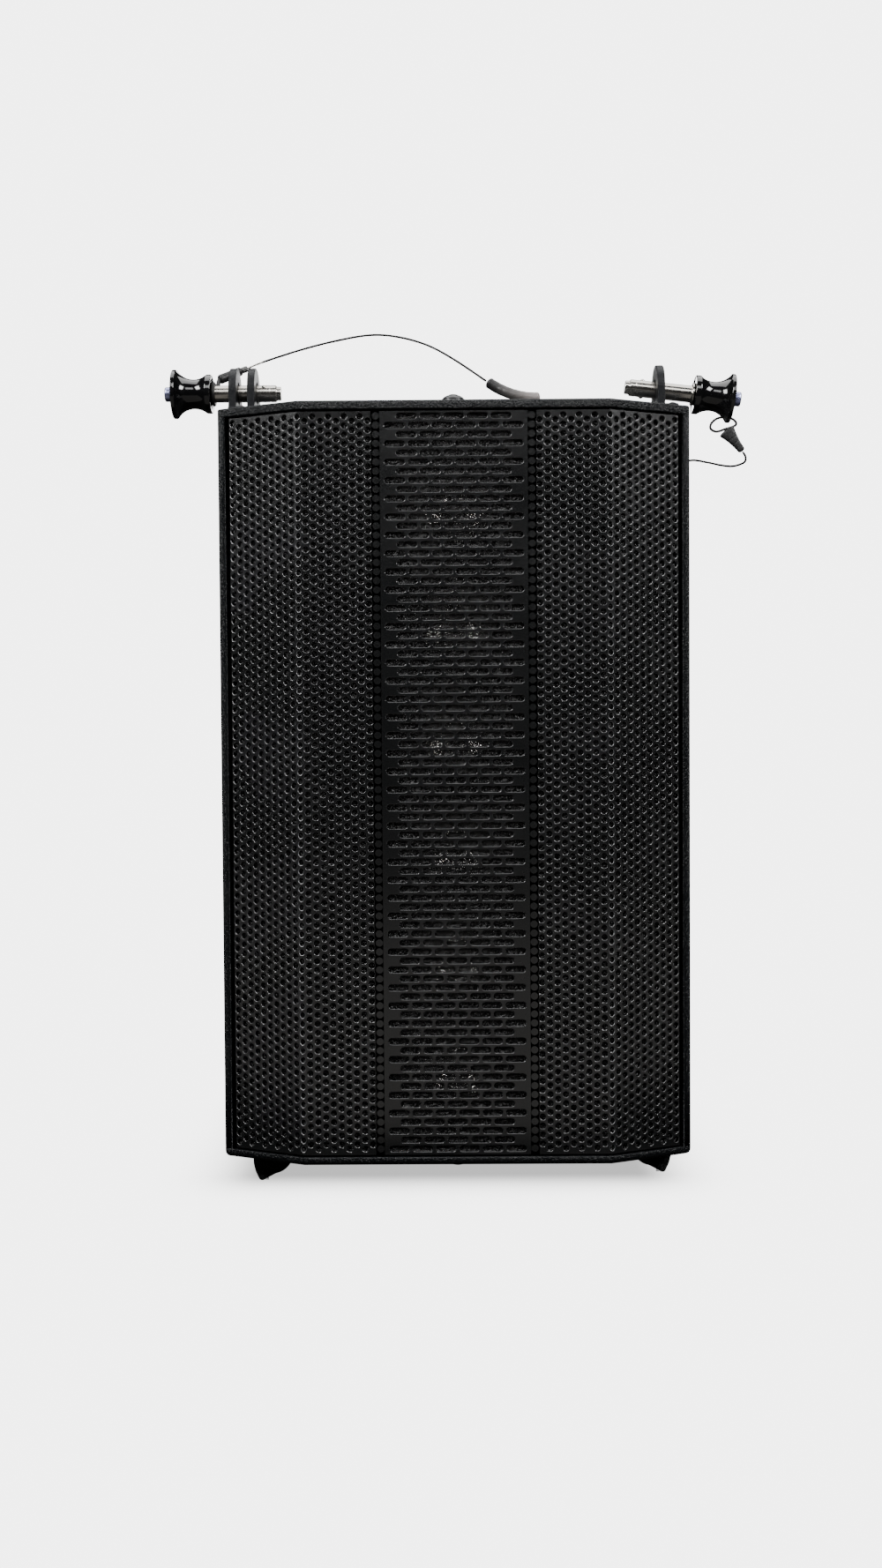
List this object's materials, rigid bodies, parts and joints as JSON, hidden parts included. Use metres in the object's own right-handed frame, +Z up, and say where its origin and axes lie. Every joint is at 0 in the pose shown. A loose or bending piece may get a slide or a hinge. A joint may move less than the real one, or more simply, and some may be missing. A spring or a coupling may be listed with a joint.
{
  "type": "column loudspeaker",
  "caption": "Black column PA loudspeaker cabinet with folded perforated grille, quick-release rigging pins on wire lanyards and wedge feet",
  "frame": {"origin": "on the ground, at the centre of the footprint box", "axes": "+X to the right seen from the front, +Y to the rear, +Z up"},
  "size_m": [0.4366, 0.236, 0.6338],
  "materials": {
    "cabinet_paint": "matt black textured paint on birch plywood",
    "grille_paint": "black powder coat on perforated steel",
    "plywood": "bare birch plywood",
    "baffle_paint": "black stained plywood",
    "foam": "black reticulated foam",
    "felt": "grey damping fleece",
    "circuit_board": "green circuit board",
    "copper": "enamelled copper wire",
    "black_steel": "black coated steel plate",
    "screw_steel": "black oxide steel",
    "insert_steel": "zinc plated steel",
    "moulded_black": "black moulded nylon",
    "rubber": "black moulded rubber",
    "basket_metal": "black cast aluminium",
    "magnet": "ferrite and plated steel",
    "cone_paper": "coated paper cone",
    "dust_cap_metal": "polished aluminium dome",
    "pin_steel": "polished stainless steel",
    "pin_grip": "gloss black anodised spool",
    "pin_button": "violet anodised aluminium",
    "wire_rope": "black jacketed wire rope"
  },
  "bodies": {
    "cabinet": {"cabinet_top": "cabinet_paint", "cabinet_bottom": "cabinet_paint", "cabinet_side_left": "cabinet_paint", "cabinet_side_right": "cabinet_paint", "cabinet_rear": "cabinet_paint", "centre_baffle": "baffle_paint", "woofer_baffle_left": "baffle_paint", "woofer_baffle_right": "baffle_paint", "brace_shelves": "plywood", "grille": "grille_paint", "grille_foam": "foam", "damping_foam": "felt", "crossover_board": "circuit_board", "crossover_components": "copper", "connector_plate": "black_steel", "connector_sockets": "moulded_black", "rear_handle": "moulded_black", "rear_screws": "screw_steel", "mounting_inserts": "insert_steel", "flying_screws": "screw_steel", "rig_bracket_left": "black_steel", "rig_bracket_right": "black_steel", "bracket_and_foot_screws": "screw_steel", "foot_front_left": "rubber", "foot_front_right": "rubber", "feet_rear": "rubber", "mid_baskets": "basket_metal", "mid_magnets": "magnet", "mid_surrounds": "rubber", "woofer_baskets": "basket_metal", "woofer_magnets": "magnet", "woofer_surrounds": "rubber", "driver_screws": "screw_steel", "lanyard_left_wire": "wire_rope", "lanyard_left_sleeve": "rubber", "lanyard_right_wire": "wire_rope", "lanyard_right_sleeve": "rubber", "lanyard_anchors": "screw_steel"},
    "mid_cones": {"mid_cones": "cone_paper", "mid_dust_caps": "dust_cap_metal", "mid_coils": "copper"},
    "woofer_cones_left": {"woofer_cones_left": "cone_paper", "woofer_caps_left": "cone_paper", "woofer_coils_left": "copper"},
    "woofer_cones_right": {"woofer_cones_right": "cone_paper", "woofer_caps_right": "cone_paper", "woofer_coils_right": "copper"},
    "pin_left": {"pin_left_shank": "pin_steel", "pin_left_handle": "pin_grip", "lanyard_left_eye": "rubber"},
    "pin_left_button": {"pin_left_button": "pin_button"},
    "pin_left_ball_front": {"pin_left_ball_front": "pin_steel"},
    "pin_left_ball_rear": {"pin_left_ball_rear": "pin_steel"},
    "pin_right": {"pin_right_shank": "pin_steel", "pin_right_handle": "pin_grip", "lanyard_right_loop": "wire_rope", "lanyard_right_grip": "rubber"},
    "pin_right_button": {"pin_right_button": "pin_button"},
    "pin_right_ball_top": {"pin_right_ball_top": "pin_steel"},
    "pin_right_ball_bottom": {"pin_right_ball_bottom": "pin_steel"}
  },
  "joints": [
    {"name": "mid_cone_stroke", "type": "slide", "parent": "cabinet", "child": "mid_cones", "axis": [0, -1, 0], "range_m": [-0.0015, 0.0015], "stiffness_N_per_m": 4000},
    {"name": "woofer_stroke_left", "type": "slide", "parent": "cabinet", "child": "woofer_cones_left", "axis": [-0.309, -0.9511, 0], "range_m": [-0.004, 0.004], "stiffness_N_per_m": 4000},
    {"name": "woofer_stroke_right", "type": "slide", "parent": "cabinet", "child": "woofer_cones_right", "axis": [0.309, -0.9511, 0], "range_m": [-0.004, 0.004], "stiffness_N_per_m": 4000},
    {"name": "pin_left_pull", "type": "slide", "parent": "cabinet", "child": "pin_left", "axis": [-1, 0, 0], "range_m": [0, 0.05], "deforming": ["lanyard_left_wire"]},
    {"name": "pin_left_press", "type": "slide", "parent": "pin_left", "child": "pin_left_button", "axis": [1, 0, 0], "range_m": [0, 0.0035], "stiffness_N_per_m": 900},
    {"name": "pin_left_ball_front_draw", "type": "slide", "parent": "pin_left", "child": "pin_left_ball_front", "axis": [0, 0.7193, -0.6947], "range_m": [0, 0.00105]},
    {"name": "pin_left_ball_rear_draw", "type": "slide", "parent": "pin_left", "child": "pin_left_ball_rear", "axis": [0, -0.7193, 0.6947], "range_m": [0, 0.00105]},
    {"name": "pin_right_pull", "type": "slide", "parent": "cabinet", "child": "pin_right", "axis": [0.9936, 0, -0.1132], "range_m": [0, 0.05], "deforming": ["lanyard_right_wire"]},
    {"name": "pin_right_press", "type": "slide", "parent": "pin_right", "child": "pin_right_button", "axis": [-0.9936, 0, 0.1132], "range_m": [0, 0.0035], "stiffness_N_per_m": 900},
    {"name": "pin_right_ball_top_draw", "type": "slide", "parent": "pin_right", "child": "pin_right_ball_top", "axis": [-0.1121, 0.1392, -0.9839], "range_m": [0, 0.00105]},
    {"name": "pin_right_ball_bottom_draw", "type": "slide", "parent": "pin_right", "child": "pin_right_ball_bottom", "axis": [0.1121, -0.1392, 0.9839], "range_m": [0, 0.00105]}
  ],
  "couplings": [
    {"joint": "woofer_stroke_right", "follows": "woofer_stroke_left", "ratio": 1},
    {"joint": "pin_left_ball_front_draw", "follows": "pin_left_press", "ratio": 0.3},
    {"joint": "pin_left_ball_rear_draw", "follows": "pin_left_press", "ratio": 0.3},
    {"joint": "pin_right_ball_top_draw", "follows": "pin_right_press", "ratio": 0.3},
    {"joint": "pin_right_ball_bottom_draw", "follows": "pin_right_press", "ratio": 0.3}
  ]
}
